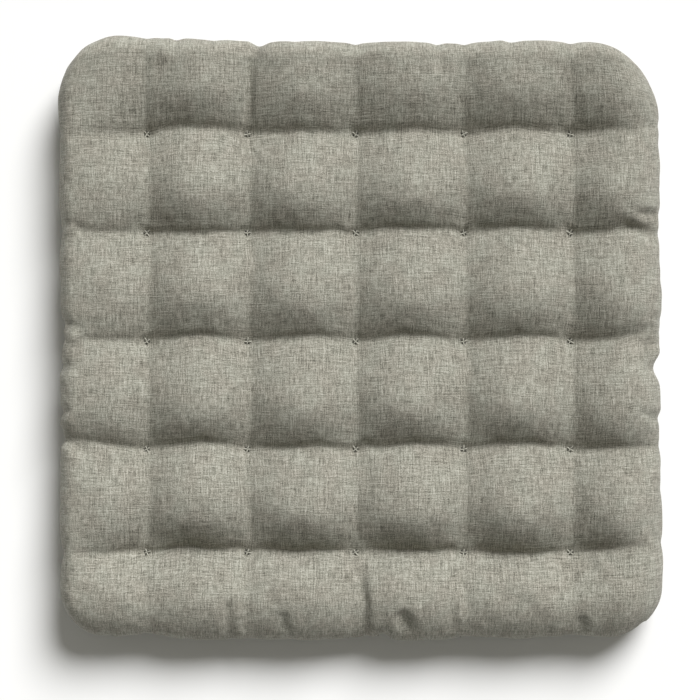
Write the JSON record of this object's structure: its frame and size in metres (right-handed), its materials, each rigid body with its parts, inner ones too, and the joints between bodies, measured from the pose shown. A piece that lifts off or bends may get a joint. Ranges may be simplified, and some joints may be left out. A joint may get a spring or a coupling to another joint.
{
  "type": "chair seat pad",
  "caption": "Square tufted chair seat pad: a pillowed cloth cover round a loose filling, pulled together by a grid of small stitched tufts with no buttons.",
  "frame": {"origin": "on the seat, under the middle of the pad", "axes": "+Z up through the thickness, +Y towards the back of the chair, +X to the right when the pad is seen from above with +Y up"},
  "size_m": [0.4, 0.4015, 0.05],
  "materials": {
    "cover_cloth": "matte grey-green melange, linen-look plain weave with fine slubs both ways",
    "loose_fill": "loose dull husks",
    "seam_thread": "matte spun sewing thread",
    "closing_thread": "matte spun sewing thread",
    "tie_thread": "matte strong thread, a dark and a light strand"
  },
  "bodies": {
    "root": {"top_panel": "cover_cloth", "bottom_panel": "cover_cloth", "filling": "loose_fill", "seam_overlock": "seam_thread", "closing_stitch": "closing_thread", "tuft_tie_r1_c1": "tie_thread", "tuft_tie_r1_c2": "tie_thread", "tuft_tie_r1_c3": "tie_thread", "tuft_tie_r1_c4": "tie_thread", "tuft_tie_r1_c5": "tie_thread", "tuft_tie_r2_c1": "tie_thread", "tuft_tie_r2_c2": "tie_thread", "tuft_tie_r2_c3": "tie_thread", "tuft_tie_r2_c4": "tie_thread", "tuft_tie_r2_c5": "tie_thread", "tuft_tie_r3_c1": "tie_thread", "tuft_tie_r3_c2": "tie_thread", "tuft_tie_r3_c3": "tie_thread", "tuft_tie_r3_c4": "tie_thread", "tuft_tie_r3_c5": "tie_thread", "tuft_tie_r4_c1": "tie_thread", "tuft_tie_r4_c2": "tie_thread", "tuft_tie_r4_c3": "tie_thread", "tuft_tie_r4_c4": "tie_thread", "tuft_tie_r4_c5": "tie_thread", "tuft_tie_r5_c1": "tie_thread", "tuft_tie_r5_c2": "tie_thread", "tuft_tie_r5_c3": "tie_thread", "tuft_tie_r5_c4": "tie_thread", "tuft_tie_r5_c5": "tie_thread"}
  },
  "joints": []
}
